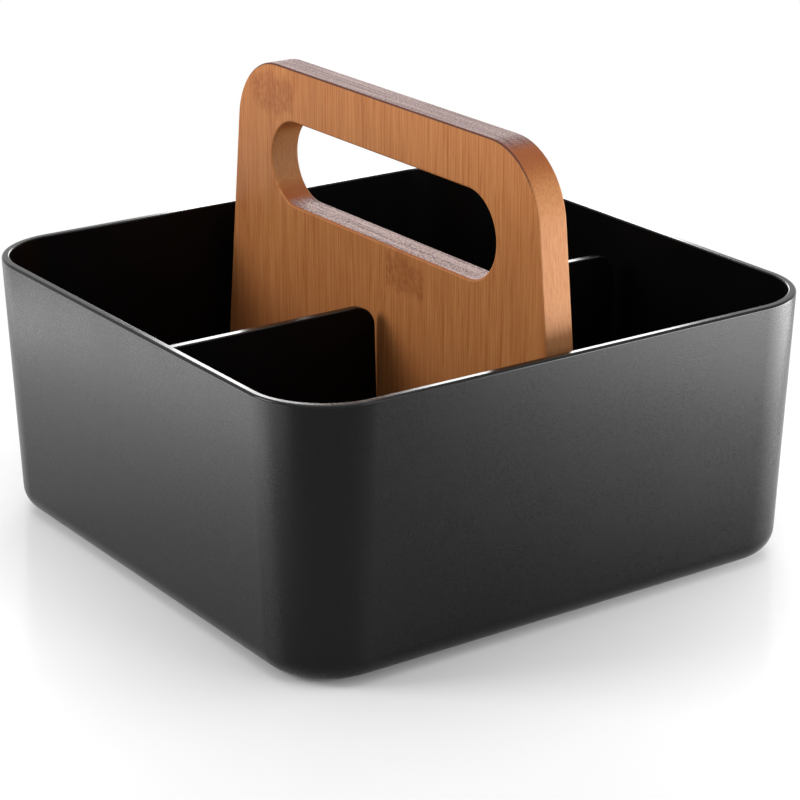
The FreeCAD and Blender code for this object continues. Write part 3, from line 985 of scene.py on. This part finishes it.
class CADDY_OT_make_board(bpy.types.Operator):
    """Make the bamboo carrying board with its hand hole and screw bores"""

    bl_idname = "caddy.make_board"
    bl_label = "Make Carrying Board"

    def execute(self, context):
        scene = context.scene
        tub, board, fasteners = scene.caddy_tub, scene.caddy_board, scene.caddy_fasteners
        arcs = board_arcs(tub, board)
        radius = board.hole_height / 2
        end = board.hole_length / 2 - radius
        hole = [
            (Vector((end, board.hole_middle)), -QUARTER_TURN, QUARTER_TURN, radius),
            (Vector((-end, board.hole_middle)), QUARTER_TURN, 3 * QUARTER_TURN, radius),
        ]
        mesh = plate(
            "board_blank",
            arcs,
            board.thickness,
            board.edge_round,
            lambda u, v, w: (w, u, v),
            hole,
            board.hole_round,
        )
        finish = bamboo(scene.caddy_finishes)
        mesh.materials.append(finish)
        blank = new_object("board_blank", mesh)
        radius = fasteners.shank + fasteners.clearance
        depth = fasteners.screw - tub.floor + fasteners.clearance
        bore = drum("bore", radius, -MILLIMETRE, depth, BORE_STEPS)
        mesh = repeated("bores", in_a_row, bore, finish, Spacing=fasteners.spacing)
        raise_mesh(mesh, tub.base + tub.floor)
        cutter = new_object("bores", mesh)
        add_boolean(blank, cutter, "DIFFERENCE")
        mesh = settled(blank, "handle_board")
        remove_object(cutter)
        flats = [Vector((0, y, z)) for y, z in edge_directions(arcs)]
        settle_normals(mesh, flats + [Vector((1, 0, 0)), Vector((-1, 0, 0)), UP, DOWN])
        piece = new_object("carrying_board", mesh)
        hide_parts("handle_board")
        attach(piece, "caddy")
        return {"FINISHED"}


class CADDY_OT_make_dividers(bpy.types.Operator):
    """Make the two dividers that lift out"""

    bl_idname = "caddy.make_dividers"
    bl_label = "Make Dividers"

    def execute(self, context):
        scene = context.scene
        tub, board, divider = scene.caddy_tub, scene.caddy_board, scene.caddy_dividers
        face = divider_plastic(scene.caddy_finishes, "plastic_divider", 0.09)
        edge = divider_plastic(scene.caddy_finishes, "plastic_divider_edge", 0.24)
        floor_top, reach = inside_at_floor(tub)
        rise = divider.top - floor_top
        inner = board.thickness / 2 + divider.board_gap
        outer = reach - divider.wall_gap
        corners = [
            (inner, floor_top),
            (outer, floor_top),
            (outer - rise * math.tan(divider.outer_lean), divider.top),
            (inner + rise * math.tan(divider.inner_lean), divider.top),
        ]
        sharp = divider.edge_round + 0.1 * MILLIMETRE
        radii = [sharp, divider.foot_corner, divider.top_corner, divider.top_corner]
        arcs = rounded_corners(corners, radii)
        straight_on = 0.999
        for label, side in (("left_divider", -1), ("right_divider", 1)):
            mesh = plate(
                label, arcs, divider.thickness, divider.edge_round, lambda u, v, w: (side * u, w, v)
            )
            mesh.materials.append(face)
            mesh.materials.append(edge)
            for polygon in mesh.polygons:
                polygon.material_index = int(abs(polygon.normal.y) < straight_on)
            flats = [Vector((side * x, 0, z)) for x, z in edge_directions(arcs)]
            settle_normals(mesh, flats + [Vector((0, 1, 0)), Vector((0, -1, 0))])
            piece = new_object(label + "_plate", mesh)
            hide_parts(label)
            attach(piece, label)
        return {"FINISHED"}


class CADDY_OT_make_screws(bpy.types.Operator):
    """Make the three countersunk screws that hold the board"""

    bl_idname = "caddy.make_screws"
    bl_label = "Make Board Screws"

    def execute(self, context):
        scene = context.scene
        tub, fasteners = scene.caddy_tub, scene.caddy_fasteners
        finish = plated_steel(scene.caddy_finishes)
        shank, head = fasteners.shank, fasteners.head
        chamfer = 0.1 * MILLIMETRE
        profile = [
            (0, 0),
            (head - chamfer, 0),
            (head, chamfer),
            (shank, head - shank),
            (shank, fasteners.screw - fasteners.tip),
            (0, fasteners.screw),
        ]
        screw = new_object("screw", lathe("screw", profile, SCREW_STEPS))
        arms = []
        slot_length, slot_width, slot_depth = fasteners.cross
        for across, along in ((slot_length, slot_width), (slot_width, slot_length)):
            arm = finished_mesh(block(across, along, -slot_depth, slot_depth), "cross_arm")
            arms.append(new_object("cross_arm", arm))
            add_boolean(screw, arms[-1], "DIFFERENCE")
        mesh = settled(screw, "screw")
        for arm in arms:
            remove_object(arm)
        mesh = repeated("board_screws", in_a_row, mesh, finish, Spacing=fasteners.spacing)
        raise_mesh(mesh, tub.base)
        settle_normals(mesh, [UP, DOWN])
        piece = new_object("board_screw_row", mesh)
        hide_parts("board_screws")
        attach(piece, "caddy")
        return {"FINISHED"}


class CADDY_OT_make_feet(bpy.types.Operator):
    """Make the four rubber feet"""

    bl_idname = "caddy.make_feet"
    bl_label = "Make Feet"

    def execute(self, context):
        scene = context.scene
        fasteners = scene.caddy_fasteners
        radius, softened = fasteners.foot, fasteners.foot_round
        edge = bend((radius - softened, softened), softened, -QUARTER_TURN, 0, EDGE_STEPS)
        thickness = fasteners.foot_thickness
        profile = [(0, 0), *edge, (radius, thickness), (0, thickness)]
        mesh = repeated(
            "feet",
            at_four_corners,
            lathe("foot", profile, FOOT_STEPS),
            rubber(scene.caddy_finishes),
            Across=fasteners.foot_place,
            Along=fasteners.foot_place,
        )
        settle_normals(mesh, [UP, DOWN])
        piece = new_object("rubber_feet", mesh)
        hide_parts("feet")
        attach(piece, "caddy")
        return {"FINISHED"}


# --- Stage ---


def aimed(name, data, place, direction):
    """A lamp or the camera, at a place and facing a direction."""
    piece = new_object(name, data)
    piece.location = place
    piece.rotation_mode = "QUATERNION"
    piece.rotation_quaternion = direction.to_track_quat("-Z", "Y")
    return piece


def softbox(name, azimuth, elevation, distance, size, radiance, aim):
    """An area lamp that faces a point; azimuth is counted from +X towards +Y."""
    lamp = bpy.data.lights.new(name, "AREA")
    lamp.shape = "RECTANGLE"
    lamp.size, lamp.size_y = size
    lamp.energy = radiance * math.pi * size[0] * size[1]
    around, above = math.radians(azimuth), math.radians(elevation)
    away = Vector(
        (math.cos(around) * math.cos(above), math.sin(around) * math.cos(above), math.sin(above))
    )
    piece = aimed(name, lamp, Vector(aim) + away * distance, -away)
    piece.visible_camera = False


class CADDY_OT_make_stage(bpy.types.Operator):
    """Make the floor, the studio light and the camera"""

    bl_idname = "caddy.make_stage"
    bl_label = "Make Stage"

    def execute(self, context):
        scene = context.scene
        stage = scene.caddy_stage
        half = stage.floor_half
        mesh = bpy.data.meshes.new("studio_floor")
        mesh.from_pydata([(x * half, y * half, 0) for x, y in QUARTERS], [], [(0, 1, 2, 3)])
        mesh.materials.append(studio_floor())
        new_object("studio_floor", mesh)
        scene.world = studio_world(stage.fill)
        for lamp in LAMPS:
            softbox(*lamp)

        lens = bpy.data.cameras.new("camera")
        lens.lens = stage.lens
        lens.sensor_width = SENSOR_WIDTH
        eye = Vector(stage.eye)
        scene.camera = aimed("camera", lens, eye, Vector(stage.target) - eye)
        scene.view_settings.view_transform = "Standard"
        return {"FINISHED"}


class CADDY_PT_panel(bpy.types.Panel):
    """Sizes, finishes and the pieces of the caddy"""

    bl_idname = "CADDY_PT_panel"
    bl_label = "Utensil Caddy"
    bl_space_type = "VIEW_3D"
    bl_region_type = "UI"
    bl_category = "Caddy"

    def draw(self, context):
        for attribute, group in GROUPS.items():
            box = self.layout.box()
            box.label(text=group.__name__)
            settings = getattr(context.scene, attribute)
            for name in group.__annotations__:
                box.prop(settings, name)
        for operator in OPERATORS:
            self.layout.operator(operator.bl_idname)


GROUPS = {
    "caddy_tub": TubSizes,
    "caddy_board": BoardSizes,
    "caddy_dividers": DividerSizes,
    "caddy_fasteners": FastenerSizes,
    "caddy_finishes": Finishes,
    "caddy_stage": StageSettings,
}
OPERATORS = (
    CADDY_OT_make_stage,
    CADDY_OT_make_tub,
    CADDY_OT_make_board,
    CADDY_OT_make_dividers,
    CADDY_OT_make_screws,
    CADDY_OT_make_feet,
)


def register():
    for group in GROUPS.values():
        bpy.utils.register_class(group)
    for attribute, group in GROUPS.items():
        setattr(bpy.types.Scene, attribute, bpy.props.PointerProperty(type=group))
    for operator in OPERATORS:
        bpy.utils.register_class(operator)
    bpy.utils.register_class(CADDY_PT_panel)


def unregister():
    bpy.utils.unregister_class(CADDY_PT_panel)
    for operator in reversed(OPERATORS):
        bpy.utils.unregister_class(operator)
    for attribute, group in GROUPS.items():
        delattr(bpy.types.Scene, attribute)
        bpy.utils.unregister_class(group)


def main():
    register()
    bpy.ops.caddy.make_stage()
    bpy.ops.caddy.make_tub()
    bpy.ops.caddy.make_board()
    bpy.ops.caddy.make_dividers()
    bpy.ops.caddy.make_screws()
    bpy.ops.caddy.make_feet()


if __name__ == "__main__":
    main()
